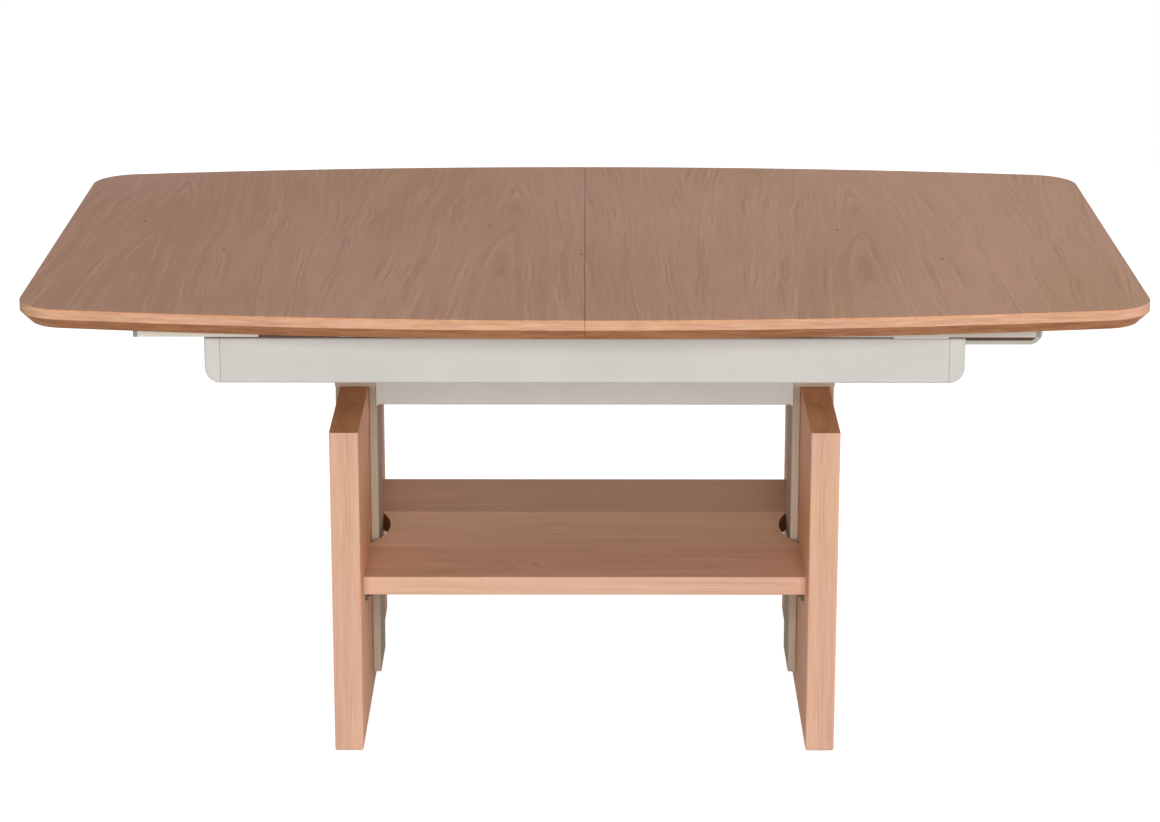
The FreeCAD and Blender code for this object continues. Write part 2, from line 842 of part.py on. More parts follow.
def save_runners():
    save("right_back_runner", right_runner(True))
    save("right_front_runner", across_y(right_runner(False)))
    save("left_back_runner", left_runner(True))
    save("left_front_runner", across_y(left_runner(False)))
    for side, places in (("right", right_screw_places()), ("left", left_screw_places())):
        screws = runner_screws(places)
        save(side + "_runner_screws", Part.makeCompound(screws + [across_y(screw) for screw in screws]))
    right_cap = runner_cap(right_runner_end, outer_lane, outer_lane - runner_width / 2)
    left_cap = across_x(runner_cap(left_runner_end, inner_lane, inner_lane - runner_width / 2))
    for side, cap in (("right", right_cap), ("left", left_cap)):
        save(side + "_runner_caps", Part.makeCompound([cap, across_y(cap)]))
    save("sync_pinion", pinion())
    save("pinion_axle", pinion_axle())


# Top halves

def outline_block(inset, low, high):
    """Boat-shaped block with bowed sides, straight ends and rounded corners."""
    end_x = top_length / 2 - inset
    middle_y = top_width / 2 - inset
    end_y = middle_y - side_bow
    front = Part.Arc(at(-end_x, -end_y, low), at(0, -middle_y, low), at(end_x, -end_y, low)).toShape()
    right = Part.LineSegment(at(end_x, -end_y, low), at(end_x, end_y, low)).toShape()
    back = Part.Arc(at(end_x, end_y, low), at(0, middle_y, low), at(-end_x, end_y, low)).toShape()
    left = Part.LineSegment(at(-end_x, end_y, low), at(-end_x, -end_y, low)).toShape()
    body = Part.Face(Part.Wire([front, right, back, left])).extrude(at(0, 0, high - low))
    return body.makeFillet(corner_radius - inset, edges_along(body, at(0, 0, 1)))


def top_blank():
    """Whole top with its bevel underneath and a softened upper edge."""
    blank = outline_block(0, top_bottom, top_face)
    blank = blank.makeChamfer(top_thickness - edge_height, edges_at_height(blank, top_bottom))
    return blank.makeFillet(arris_radius, edges_at_height(blank, top_face))


def half_space(way):
    """Everything on one side of the seam."""
    near = way * seam_gap / 2
    far = way * top_length
    return block(at(min(near, far), -top_width, top_bottom - overrun),
                 at(max(near, far), top_width, top_face + overrun))


def seam_pin_places():
    z = (top_bottom + top_face) / 2
    return [at(0, y, z) for y in (-seam_pin_spacing, 0, seam_pin_spacing)]


def seam_pins():
    return [bar(seam_pin_radius, place - at(seam_pin_reach, 0, 0), place + at(seam_pin_seat, 0, 0))
            for place in seam_pin_places()]


def seam_pin_holes():
    """Tight holes to the right of the seam, loose ones to its left."""
    holes = []
    for place in seam_pin_places():
        tight_end = place + at(seam_pin_seat + running_clearance, 0, 0)
        holes.append(bar(seam_pin_radius + running_clearance, place, tight_end))
        loose_end = place - at(seam_pin_reach + overrun, 0, 0)
        holes.append(bar(seam_pin_radius + seam_pin_clearance, loose_end, place))
    return holes


def save_tops():
    blank = top_blank()
    core = outline_block(lipping_width, top_bottom - overrun, top_face - veneer_thickness)
    sheet = block(at(-top_length, -top_width, top_face - veneer_thickness),
                  at(top_length, top_width, top_face + overrun))
    panel = blank.common(core.fuse(sheet))
    lipping = blank.cut(core).cut(sheet)
    for name, way, places in (("right", 1, right_screw_places()), ("left", -1, left_screw_places())):
        holes = runner_screw_holes(places)
        tools = holes + [across_y(hole) for hole in holes] + seam_pin_holes()
        save(name + "_top_panel", cut_all(panel.common(half_space(way)), tools))
        save(name + "_edge_lipping", lipping.common(half_space(way)))
    save("seam_pins", Part.makeCompound(seam_pins()))


# Stored leaf

def save_leaf():
    depth = top_width / 4
    upper_top = top_bottom - leaf_headroom
    upper_bottom = upper_top - leaf_thickness
    lower_top = upper_bottom - leaf_fold_gap
    lower_bottom = lower_top - leaf_thickness
    fold = (upper_bottom + lower_top) / 2
    bevel = top_thickness - edge_height
    for name, low, high, outer in (("leaf_upper", upper_bottom, upper_top, upper_top),
                                   ("leaf_lower", lower_bottom, lower_top, lower_bottom)):
        board = block(at(-leaf_half_width, -depth, low), at(leaf_half_width, depth, high))
        front = [edge for edge in edges_along(board, X_AXIS)
                 if edge.CenterOfMass.y < 0 and abs(edge.CenterOfMass.z - outer) < arris_radius]
        save(name, board.makeChamfer(bevel, front))
    hinges = []
    for x in (-hinge_spacing, 0, hinge_spacing):
        plate = block(at(x - hinge_width / 2, depth, fold - hinge_height / 2),
                      at(x + hinge_width / 2, depth + hinge_thickness, fold + hinge_height / 2))
        knuckle = bar(hinge_knuckle_radius, at(x - hinge_width / 2, depth + hinge_knuckle_radius, fold),
                      at(x + hinge_width / 2, depth + hinge_knuckle_radius, fold))
        hinges.append(plate.fuse(knuckle))
    save("leaf_hinges", Part.makeCompound(hinges))
    rails = []
    for y in (-leaf_rail_spacing / 2, leaf_rail_spacing / 2):
        rails.append(block(at(-column_in, y - leaf_rail_width / 2, lower_bottom - leaf_rail_height),
                           at(column_in, y + leaf_rail_width / 2, lower_bottom)))
    save("leaf_rails", Part.makeCompound(rails))


# Release lever and bar

def lever_bearing_places():
    outer = lever_y + lever_bearing_inset
    inner = -lever_bearing_inset - arm_thickness
    return [outer, inner]


def lever_bearings():
    half = lever_bearing_size / 2
    plates = []
    for y in lever_bearing_places():
        low = y - lever_bearing_thickness / 2
        high = y + lever_bearing_thickness / 2
        plate = block(at(column_out, low, lever_height - half),
                      at(lever_x + half, high, lever_height + half))
        hole = bar(lever_shaft_radius + running_clearance, at(lever_x, low - overrun, lever_height),
                   at(lever_x, high + overrun, lever_height))
        plates.append(plate.cut(hole))
    return Part.makeCompound(plates)


def release_lever():
    """Shaft across the frame, a bent handle at its front end and an arm down to the bar."""
    handle_end = right_runner_end + lever_overhang
    handle_top = top_bottom - lever_headroom
    rod_height = lever_height + lever_rod_lift
    shaft = bar(lever_shaft_radius, at(lever_x, lever_y - lever_shaft_radius, lever_height),
                at(lever_x, arm_thickness / 2, lever_height))
    arm = block(at(lever_x - arm_length / 2, -arm_thickness / 2, bar_bottom - arm_overrun),
                at(lever_x + arm_length / 2, arm_thickness / 2, lever_height))
    bend_start = at(handle_end - lever_bend_radius, lever_y, rod_height)
    bend_end = at(handle_end, lever_y, rod_height + lever_bend_radius)
    inset = lever_bend_radius * (1 - math.sin(math.pi / 4))
    bend_middle = at(handle_end - inset, lever_y, rod_height + inset)
    run = Part.LineSegment(at(lever_x, lever_y, rod_height), bend_start).toShape()
    bend = Part.Arc(bend_start, bend_middle, bend_end).toShape()
    rise = Part.LineSegment(bend_end, at(handle_end, lever_y, handle_top)).toShape()
    section = Part.Wire([Part.makeCircle(lever_rod_radius, at(lever_x, lever_y, rod_height), X_AXIS)])
    handle = Part.Wire([run, bend, rise]).makePipeShell([section], True, True)
    return shaft.fuse(arm).fuse(handle).removeSplitter()


def ramp(pin_x):
    """Wedge under the release bar that presses a valve pin as the bar slides."""
    half = bar_width / 2
    start = -ramp_lead
    end = bar_travel + ramp_lead
    level = valve_pin_top + ramp_clearance
    points = [at(pin_x + start, -half, bar_bottom),
              at(pin_x + end, -half, bar_bottom),
              at(pin_x + end, -half, level - ramp_slope * end),
              at(pin_x + start, -half, level - ramp_slope * start)]
    return prism(points, at(0, bar_width, 0))


def release_bar():
    half = bar_width / 2
    left_end = -leg_mid - ramp_lead
    body = block(at(left_end, -half, bar_bottom), at(lever_x + bar_end, half, bar_top))
    slot_x = arm_length / 2 + arm_play
    slot_y = arm_thickness / 2 + bar_play
    slot = block(at(lever_x - slot_x, -slot_y, bar_bottom - overrun),
                 at(lever_x + slot_x, slot_y, bar_top + overrun))
    return body.fuse(ramp(leg_mid)).fuse(ramp(-leg_mid)).removeSplitter().cut(slot)


def save_release():
    save("release_lever", release_lever())
    save("lever_bearings", lever_bearings())
    save("release_bar", release_bar())


os.makedirs("parts", exist_ok=True)
save_base()
save_gas_springs()
save_columns()
save_frame()
save_runners()
save_tops()
save_leaf()
save_release()
print("top height", top_face, "top travel", top_travel, "lift travel", lift_travel)
print("lever pivot", lever_x, lever_y, lever_height, "lever arm", lever_arm)
print("bar travel", bar_travel, "ramp slope", ramp_slope)
print("pinion centre", pinion_y, "pitch radius", pitch_radius)
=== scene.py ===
"""A convertible coffee dining table: materials, light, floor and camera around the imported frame."""

import json
import math

import bpy
from mathutils import Matrix, Vector


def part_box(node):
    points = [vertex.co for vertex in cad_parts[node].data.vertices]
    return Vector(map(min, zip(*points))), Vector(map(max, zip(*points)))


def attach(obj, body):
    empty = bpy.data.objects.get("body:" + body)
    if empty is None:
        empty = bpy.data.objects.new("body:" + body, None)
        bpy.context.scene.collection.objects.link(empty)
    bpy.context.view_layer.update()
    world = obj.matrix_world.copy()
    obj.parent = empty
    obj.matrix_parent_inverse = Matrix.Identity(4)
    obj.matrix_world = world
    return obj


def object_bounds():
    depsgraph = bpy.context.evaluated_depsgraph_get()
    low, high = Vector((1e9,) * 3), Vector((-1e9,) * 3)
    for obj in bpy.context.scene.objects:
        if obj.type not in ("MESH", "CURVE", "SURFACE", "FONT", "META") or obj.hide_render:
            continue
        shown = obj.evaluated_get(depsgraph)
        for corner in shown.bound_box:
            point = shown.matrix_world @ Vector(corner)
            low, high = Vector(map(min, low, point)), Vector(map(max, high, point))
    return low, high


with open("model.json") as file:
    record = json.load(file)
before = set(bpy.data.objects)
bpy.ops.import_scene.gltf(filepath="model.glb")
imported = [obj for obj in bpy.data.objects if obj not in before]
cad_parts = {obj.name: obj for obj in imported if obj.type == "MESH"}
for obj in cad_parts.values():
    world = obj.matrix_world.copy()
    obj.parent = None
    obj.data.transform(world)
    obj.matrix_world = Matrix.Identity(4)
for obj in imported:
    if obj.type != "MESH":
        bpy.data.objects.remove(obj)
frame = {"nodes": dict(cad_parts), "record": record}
cad_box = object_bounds()
table_height = cad_box[1][2]


# Helpers for what stands in the scene
matrix_size = 4


def put_in_scene(name, data):
    item = bpy.data.objects.new(name, data)
    bpy.context.scene.collection.objects.link(item)
    return item


def turned(degrees, axis):
    return Matrix.Rotation(math.radians(degrees), matrix_size, axis)


# Camera, at the photograph's viewing angle, with its focal length and offset in pixels of the photograph
photo_width = 1160
photo_focal = 3430.0
photo_offset = 4.75
sensor_width = 36.0
camera_place = (0.0, -3.9764, 1.4855)
camera_pitch = 16.05
camera_roll = 0.04
level = 90.0


def add_camera():
    data = bpy.data.cameras.new("photo_camera")
    data.sensor_fit = "HORIZONTAL"
    data.sensor_width = sensor_width
    data.lens = sensor_width * photo_focal / photo_width
    data.shift_x = -photo_offset / photo_width
    camera = put_in_scene("photo_camera", data)
    aim = turned(level - camera_pitch, "X") @ turned(camera_roll, "Z")
    camera.matrix_world = Matrix.Translation(camera_place) @ aim
    bpy.context.scene.camera = camera


# Studio light: soft boxes low and high behind the camera, at the sides and at the back, with a weak sky.
# A level is the share of full light that a box gives to a surface that faces it.
light_aim = Vector((0.0, 0.0, 0.30))
light_size = (2.0, 1.4)
light_rows = {"low_front": {"turn": 0.0, "rise": 5.0, "distance": 6.0, "level": 0.60},
              "high_front": {"turn": 0.0, "rise": 24.0, "distance": 6.0, "level": 0.40},
              "left_side": {"turn": -80.0, "rise": 15.0, "distance": 4.0, "level": 0.132},
              "right_side": {"turn": 80.0, "rise": 15.0, "distance": 4.0, "level": 0.360},
              "left_back": {"turn": -150.0, "rise": 35.0, "distance": 4.0, "level": 0.05},
              "right_back": {"turn": 150.0, "rise": 35.0, "distance": 4.0, "level": 0.12},
              "low_back": {"turn": 180.0, "rise": 5.0, "distance": 6.0, "level": 0.22}}
sky_level = 0.06
backdrop_level = 1.0
white = (1.0, 1.0, 1.0, 1.0)


def add_softboxes():
    for name, row in light_rows.items():
        data = bpy.data.lights.new(name, "AREA")
        data.shape = "RECTANGLE"
        data.size, data.size_y = light_size
        data.energy = row["level"] * math.pi ** 2 * row["distance"] ** 2
        lamp = put_in_scene(name, data)
        aim = turned(row["turn"], "Z") @ turned(level - row["rise"], "X")
        away = aim @ Vector((0.0, 0.0, row["distance"]))
        lamp.matrix_world = Matrix.Translation(light_aim + away) @ aim
        lamp.visible_camera = False
        lamp.visible_glossy = False


def seen_ray(tree):
    """1 for a ray that shows the backdrop, straight or in a mirror or glass, and 0 for light."""
    path = tree.nodes.new("ShaderNodeLightPath")
    total = path.outputs["Is Camera Ray"]
    for name in ("Is Glossy Ray", "Is Transmission Ray"):
        either = tree.nodes.new("ShaderNodeMath")
        either.operation = "MAXIMUM"
        tree.links.new(total, either.inputs[0])
        tree.links.new(path.outputs[name], either.inputs[1])
        total = either.outputs["Value"]
    return total


def stage_node(tree, kind, colour, strength=None):
    node = tree.nodes.new(kind)
    node.inputs["Color"].default_value = colour
    if strength is not None:
        node.inputs["Strength"].default_value = strength
    return node.outputs[0]


def end_by_ray(tree, for_light, for_view, output_kind):
    """Ends a tree with one shader for light and another for what the camera sees."""
    choice = tree.nodes.new("ShaderNodeMixShader")
    tree.links.new(seen_ray(tree), choice.inputs["Fac"])
    tree.links.new(for_light, choice.inputs[1])
    tree.links.new(for_view, choice.inputs[2])
    output = tree.nodes.new(output_kind)
    tree.links.new(choice.outputs["Shader"], output.inputs["Surface"])


def add_backdrop():
    world = bpy.data.worlds.new("studio")
    world.use_nodes = True
    tree = world.node_tree
    tree.nodes.clear()
    sky = stage_node(tree, "ShaderNodeBackground", white, sky_level)
    backdrop = stage_node(tree, "ShaderNodeBackground", white, backdrop_level)
    end_by_ray(tree, sky, backdrop, "ShaderNodeOutputWorld")
    bpy.context.scene.world = world


# Floor: a pale disc that shows white, with the table's soft shadow on it
floor_radius = 3.2
floor_sides = 96
floor_tone = (0.55, 0.55, 0.55, 1.0)
floor_shadow_tone = (0.60, 0.60, 0.60, 1.0)
floor_glow = 0.88


def add_floor():
    mesh = bpy.data.meshes.new("floor")
    turns = [math.tau * step / floor_sides for step in range(floor_sides)]
    rim = [(floor_radius * math.cos(turn), floor_radius * math.sin(turn), 0.0) for turn in turns]
    mesh.from_pydata(rim, [], [tuple(range(floor_sides))])
    material = bpy.data.materials.new("floor_paint")
    material.use_nodes = True
    tree = material.node_tree
    tree.nodes.clear()
    plain = stage_node(tree, "ShaderNodeBsdfDiffuse", floor_tone)
    shaded = stage_node(tree, "ShaderNodeBsdfDiffuse", floor_shadow_tone)
    glow = stage_node(tree, "ShaderNodeEmission", white, floor_glow)
    seen = tree.nodes.new("ShaderNodeAddShader")
    tree.links.new(shaded, seen.inputs[0])
    tree.links.new(glow, seen.inputs[1])
    end_by_ray(tree, plain, seen.outputs["Shader"], "ShaderNodeOutputMaterial")
    mesh.materials.append(material)
    floor = put_in_scene("floor", mesh)


# Node helpers, so that a material reads as a sum of its layers
middle = 0.5
facing_low, facing_high = 0.60, 0.80


class Shade:
    """A material's node tree. Each method adds nodes and gives back what comes out of them."""

    def __init__(self, name):
        self.material = bpy.data.materials.new(name)
        self.material.use_nodes = True
        self.tree = self.material.node_tree
        self.tree.nodes.clear()
        source = self.add("ShaderNodeTexCoord")
        self.place = source.outputs["Object"]
        self.facing = source.outputs["Normal"]

    def add(self, kind):
        return self.tree.nodes.new(kind)

    def feed(self, socket, value):
        if isinstance(value, bpy.types.NodeSocket):
            self.tree.links.new(value, socket)
        else:
            socket.default_value = value

    def math(self, operation, first, second=0.0):
        node = self.add("ShaderNodeMath")
        node.operation = operation
        self.feed(node.inputs[0], first)
        self.feed(node.inputs[1], second)
        return node.outputs["Value"]

    def total(self, *terms):
        result = terms[0]
        for term in terms[1:]:
            result = self.math("ADD", result, term)
        return result

    def minus(self, first, second):
        return self.math("SUBTRACT", first, second)

    def scaled(self, value, factor):
        return self.math("MULTIPLY", value, factor)

    def absolute(self, value):
        return self.math("ABSOLUTE", value)

    def hypot(self, first, second):
        return self.math("SQRT", self.total(self.scaled(first, first), self.scaled(second, second)))

    def centred(self, value, amount):
        """A noise's swing to both sides of its middle."""
        return self.scaled(self.minus(value, middle), amount)

    def split(self, vector):
        node = self.add("ShaderNodeSeparateXYZ")
        self.feed(node.inputs["Vector"], vector)
        return {axis: node.outputs[axis.upper()] for axis in "xyz"}

    def join(self, x, y, z):
        node = self.add("ShaderNodeCombineXYZ")
        for socket, value in zip(node.inputs, (x, y, z)):
            self.feed(socket, value)
        return node.outputs["Vector"]

    def noise(self, kind, vector, scale=1.0):
        detail, roughness = kind
        node = self.add("ShaderNodeTexNoise")
        for name, amount in (("Vector", vector), ("Scale", scale), ("Detail", detail),
                             ("Roughness", roughness)):
            self.feed(node.inputs[name], amount)
        return node.outputs["Fac"]

    def field(self, kind, *terms):
        """Noise over three coordinates, each as it is or paired with its rate."""
        places = [self.scaled(*term) if isinstance(term, tuple) else term for term in terms]
        return self.noise(kind, self.join(*places))

    def chance(self, value):
        node = self.add("ShaderNodeTexWhiteNoise")
        node.noise_dimensions = "1D"
        self.feed(node.inputs["W"], value)
        return node.outputs["Value"]

    def span(self, value, low, high, start=0.0, stop=1.0, smooth=True):
        node = self.add("ShaderNodeMapRange")
        node.interpolation_type = "SMOOTHSTEP" if smooth else "LINEAR"
        for name, amount in (("Value", value), ("From Min", low), ("From Max", high),
                             ("To Min", start), ("To Max", stop)):
            self.feed(node.inputs[name], amount)
        return node.outputs["Result"]

    def faces(self, direction):
        """1 where the surface faces along an axis, from either side, and 0 where it faces elsewhere."""
        return self.span(self.absolute(direction), facing_low, facing_high)

    def ramp(self, value, stops):
        node = self.add("ShaderNodeValToRGB")
        self.feed(node.inputs["Fac"], value)
        for point, (place, colour) in zip(node.color_ramp.elements, stops):
            point.position = place
            point.color = (*colour, 1.0)
        return node.outputs["Color"]

    def blend(self, factor, first, second, kind="MIX"):
        node = self.add("ShaderNodeMix")
        node.data_type = "RGBA"
        node.blend_type = kind
        self.feed(node.inputs["Factor"], factor)
        for name, colour in (("A", first), ("B", second)):
            socket = [item for item in node.inputs if item.name == name and item.type == "RGBA"][0]
            self.feed(socket, (*colour, 1.0) if isinstance(colour, tuple) else colour)
        return [item for item in node.outputs if item.type == "RGBA"][0]

    def bump(self, height, depth):
        node = self.add("ShaderNodeBump")
        self.feed(node.inputs["Strength"], 1.0)
        self.feed(node.inputs["Distance"], depth)
        self.feed(node.inputs["Height"], height)
        return node.outputs["Normal"]

    def surface(self, colour, roughness, normal, **fixed):
        node = self.add("ShaderNodeBsdfPrincipled")
        self.feed(node.inputs["Base Color"], colour)
        self.feed(node.inputs["Roughness"], roughness)
        self.feed(node.inputs["Normal"], normal)
        for name, value in fixed.items():
            node.inputs[name.replace("_", " ")].default_value = value
        output = self.add("ShaderNodeOutputMaterial")
        self.tree.links.new(node.outputs["BSDF"], output.inputs["Surface"])
        return self.material


def shade(colour, factor):
    return tuple(channel * factor for channel in colour)


# Kinds of noise, each as the number of its finer layers and their strength
even_noise = (2.0, 0.5)
speck_noise = (1.0, 0.5)
slow_noise = (3.0, 0.5)
band_noise = (3.0, 0.55)
line_noise = (3.0, 0.6)
fibre_noise = (4.0, 0.65)
pit_noise = (3.0, 0.7)
bloom_noise = (4.0, 0.6)
dust_noise = (5.0, 0.6)
plain_tint = (1.0, 1.0, 1.0)

# Wood surface: relief, gloss and the hue that drifts between pinkish and olive
wood_specular = 0.12
wood_bump = 0.00012
relief_fibre_share, relief_fleck_share = 0.6, 0.8
wear_fleck_share = 0.4
wood_wear_low, wood_wear_high = 0.2, 1.2
wood_smoothest, wood_roughest = 0.52, 0.74
fibre_fineness, fibre_length = 620.0, 9.0
fleck_fineness, fleck_length = 1500.0, 170.0
fleck_low, fleck_high = 0.62, 0.74
pink_tint = (1.012, 0.976, 1.018)
olive_tint = (0.988, 1.006, 0.922)
hue_low, hue_high = 0.40, 0.60


def wood_surface(m, tone, colours, hue, hue_share, fibre, fleck, colour_steps):
    """Colour from the tone, with pinkish and olive patches, fine fibre and short dark flecks."""
    light, dark = colours
    colour = m.ramp(tone, [(0.0, light), (1.0, dark)])
    tint = m.ramp(hue, [(hue_low, pink_tint), (hue_high, olive_tint)])
    colour = m.blend(hue_share, colour, tint, "MULTIPLY")
    for factor, target, kind in colour_steps:
        colour = m.blend(factor, colour, target, kind)
    height = m.minus(m.scaled(fibre, relief_fibre_share), m.scaled(fleck, relief_fleck_share))
    wear = m.total(fibre, m.scaled(fleck, wear_fleck_share))
    roughness = m.span(wear, wood_wear_low, wood_wear_high, wood_smoothest, wood_roughest, smooth=False)
    return m.surface(colour, roughness, m.bump(height, wood_bump), Specular_IOR_Level=wood_specular)


def fibres(m, side, run, thick):
    """Fine fibre, and the short dark flecks in it."""
    fine = m.field(fibre_noise, (side, fibre_fineness), (run, fibre_length), (thick, fibre_fineness))
    specks = m.field(speck_noise, (side, fleck_fineness), (run, fleck_length), (thick, fleck_fineness))
    return fine, m.span(specks, fleck_low, fleck_high)


# Solid wood: growth layers cut through, so that faces, edges and end grain all agree
board_seed = 7.3
board_spread = 3.0
sway_rate, sway_length, sway_share = 3.0, 1.4, 0.12
quiver_rate, quiver_length, quiver_size = 30.0, 11.0, 0.011
drift_rate, drift_length = 5.0, 1.8
hue_rate, hue_length = 5.0, 2.2
band_length, line_length, hair_length = 1.0, 3.4, 9.0
line_share, hair_share, bundle_share = 0.26, 0.075, 0.5
bundle_low, bundle_high = 0.42, 0.64
line_weakest, line_strongest = 0.25, 2.0
hair_weakest, hair_strongest = 0.55, 1.5
knot_radius, knot_core, knot_reach, knot_bulge = 0.0030, 0.0010, 0.030, 0.006
knot_stretch_share, knot_dark_share = 0.45, 0.30
joint_width, joint_dark_share = 0.0007, 0.45
end_tint = (1.00, 0.76, 0.50)
end_contrast = 1.7
# colour of the painted shade on the walls of the shelf's notch round the column
notch_painted_shade = (0.34, 0.26, 0.20)


def growth_tone(m, layer, run, seed, band, marks):
    """Broad bands, finer lines that come and go in bundles, and hair lines, all along the growth layers."""
    bands = m.field(band_noise, (layer, 1.0 / band), (run, band_length), seed)
    lines = m.field(line_noise, (layer, 1.0 / (band * line_share)), (run, line_length), seed)
    hairs = m.field(even_noise, (layer, 1.0 / (band * hair_share)), (run, hair_length * marks["break"]), seed)
    bundle_layer = m.total(m.scaled(layer, 1.0 / (band / bundle_share)), board_spread)
    bundles = m.field(even_noise, bundle_layer, (run, line_length), seed)
    line_strength = m.span(bundles, bundle_low, bundle_high, line_weakest, line_strongest)
    hair_strength = m.span(bundles, bundle_low, bundle_high, hair_weakest, hair_strongest)
    return m.total(m.centred(bands, marks["band"]), m.scaled(m.centred(lines, marks["line"]), line_strength),
                   m.scaled(m.centred(hairs, marks["hair"]), hair_strength))


def add_knots(m, layer, across, along, knots):
    """Growth layers that bulge round each knot, and the dark spots of the knots themselves."""
    spots = 0.0
    for knot_across, knot_along in knots:
        stretch = m.scaled(m.minus(along, knot_along), knot_stretch_share)
        gap = m.hypot(m.minus(across, knot_across), stretch)
        spots = m.math("MAXIMUM", spots, m.span(gap, knot_radius, knot_core))
        layer = m.total(layer, m.span(gap, knot_reach, 0.0, 0.0, knot_bulge))
    return layer, spots


def wood(name, along, across, through, face, colours, width, start, pith, taper, band, marks,
         skew=0.0, slip=0.0, knots=(), face_tint=plain_tint, steps=(), notch=0.0):
    """Boards side by side, each sawn from its own log, or with slip, leaves of veneer from one log."""
    m = Shade(name)
    axis = m.split(m.place)
    facing = m.split(m.facing)
    length, side = axis[along], axis[across]
    thick = m.minus(m.absolute(axis[through]), face)
    step = m.minus(side, start)
    number = m.math("FLOOR", m.scaled(step, 1.0 / width))
    luck = m.chance(m.total(number, board_seed))
    inside = m.minus(m.minus(step, m.scaled(number, width)), width / 2)
    run = m.minus(length, m.scaled(number, slip))
    seed = m.scaled(luck, 0.0 if slip else board_spread)

    sway = m.field(even_noise, (inside, sway_rate), (run, sway_length), seed)
    quiver = m.field(even_noise, (inside, quiver_rate), (run, quiver_length), seed)
    centre = m.total(inside, m.centred(sway, width * sway_share), m.centred(quiver, quiver_size))
    layer = m.total(m.hypot(centre, m.total(thick, pith)), m.scaled(run, taper), m.scaled(centre, skew))
    knot_place = (inside, run) if slip else (side, length)
    layer, spots = add_knots(m, layer, *knot_place, knots)
    fibre, fleck = fibres(m, side, length, thick)
    drift = m.field(band_noise, (side, drift_rate), (run, drift_length), seed)
    hue = m.field(even_noise, (side, hue_rate), (run, hue_length), seed)

    end = m.faces(facing[along])
    broad = m.faces(facing[through])
    drift_share = m.span(broad, 0.0, 1.0, marks["edge_drift_share"], 1.0)
    grain = m.total(growth_tone(m, layer, run, seed, band, marks), m.centred(fibre, marks["fibre"]),
                    m.scaled(fleck, marks["fleck"]))
    # painted light and shade: the tone slopes along x, lighter towards +x on the veneer and darker on the
    # shelf
    tone = m.total(m.scaled(grain, m.span(end, 0.0, 1.0, 1.0, end_contrast)),
                   m.scaled(m.centred(drift, marks["drift"]), drift_share),
                   m.centred(luck, marks["board"]), m.scaled(axis["x"], marks["lean"]), middle)
    rim = m.minus(width / 2, m.absolute(inside))
    joint = m.scaled(m.span(rim, joint_width, 0.0), marks["joint"])
    dark = colours[1]
    # painted light: the broad faces get a warm, lighter tint that stands in for light bounced off the wood
    # into their shade
    colour_steps = [(m.scaled(spots, marks["knot"]), shade(dark, knot_dark_share), "MIX"),
                    (end, end_tint, "MULTIPLY"), (broad, face_tint, "MULTIPLY"),
                    (joint, shade(dark, joint_dark_share), "MIX")]
    # painted shade: the walls of the shelf's notch round the column are darkened
    if notch:
        shaded_notch_wall = m.scaled(m.math("LESS_THAN", m.absolute(side), notch), m.minus(1.0, broad))
        colour_steps.append((shaded_notch_wall, notch_painted_shade, "MULTIPLY"))
    for edge, tint in steps:
        colour_steps.append((m.math("GREATER_THAN", side, edge), tint, "MULTIPLY"))
    return wood_surface(m, tone, colours, hue, marks["hue"], fibre, fleck, colour_steps)


# Edge lipping: grain that follows the edge, with painted shade that darkens the bevel facing down underneath
wave_length, wave_rise, wave_size = 2.6, 30.0, 7.0
layer_rise = 300.0
edge_line_length, edge_line_depth = 24.0, 30.0
edge_drift_length = 7.0
edge_hue_length, edge_hue_rise, edge_hue_share = 16.0, 110.0, 1.0
edge_marks = {"line": 2.4, "fibre": 0.3, "fleck": 0.14, "drift": 0.9}
under_low, under_high = -0.25, -0.50
# colour of the painted shade on faces that look down
bevel_painted_shade = (0.618, 0.466, 0.336)
bevel_contrast = 1.2


def lipping_wood(name, colours):
    m = Shade(name)
    axis = m.split(m.place)
    facing = m.split(m.facing)
    at_end = m.math("GREATER_THAN", m.absolute(facing["x"]), m.absolute(facing["y"]))
    at_side = m.minus(1.0, at_end)
    run = m.total(m.scaled(axis["x"], at_side), m.scaled(axis["y"], at_end))
    side = m.total(m.scaled(axis["y"], at_side), m.scaled(axis["x"], at_end))
    wave = m.field(even_noise, (run, wave_length), (axis["z"], wave_rise), at_end)
    layers = m.total(m.scaled(axis["z"], layer_rise), m.scaled(wave, wave_size))
    lines = m.field(line_noise, layers, (run, edge_line_length), (side, edge_line_depth))
    fibre, fleck = fibres(m, axis["z"], run, side)
    drift = m.field(slow_noise, (run, edge_drift_length), at_end, 0.0)
    hue = m.field(even_noise, (run, edge_hue_length), at_end, (axis["z"], edge_hue_rise))
    under = m.span(facing["z"], under_low, under_high)
    swing = m.total(m.centred(lines, edge_marks["line"]), m.centred(fibre, edge_marks["fibre"]),
                    m.scaled(fleck, edge_marks["fleck"]), m.centred(drift, edge_marks["drift"]))
    tone = m.total(swing, m.scaled(m.scaled(swing, under), bevel_contrast), middle)
    # painted shade: faces that look down, the bevel underneath, are darkened
    painted_shade_steps = [(under, bevel_painted_shade, "MULTIPLY")]
    return wood_surface(m, tone, colours, hue, edge_hue_share, fibre, fleck, painted_shade_steps)


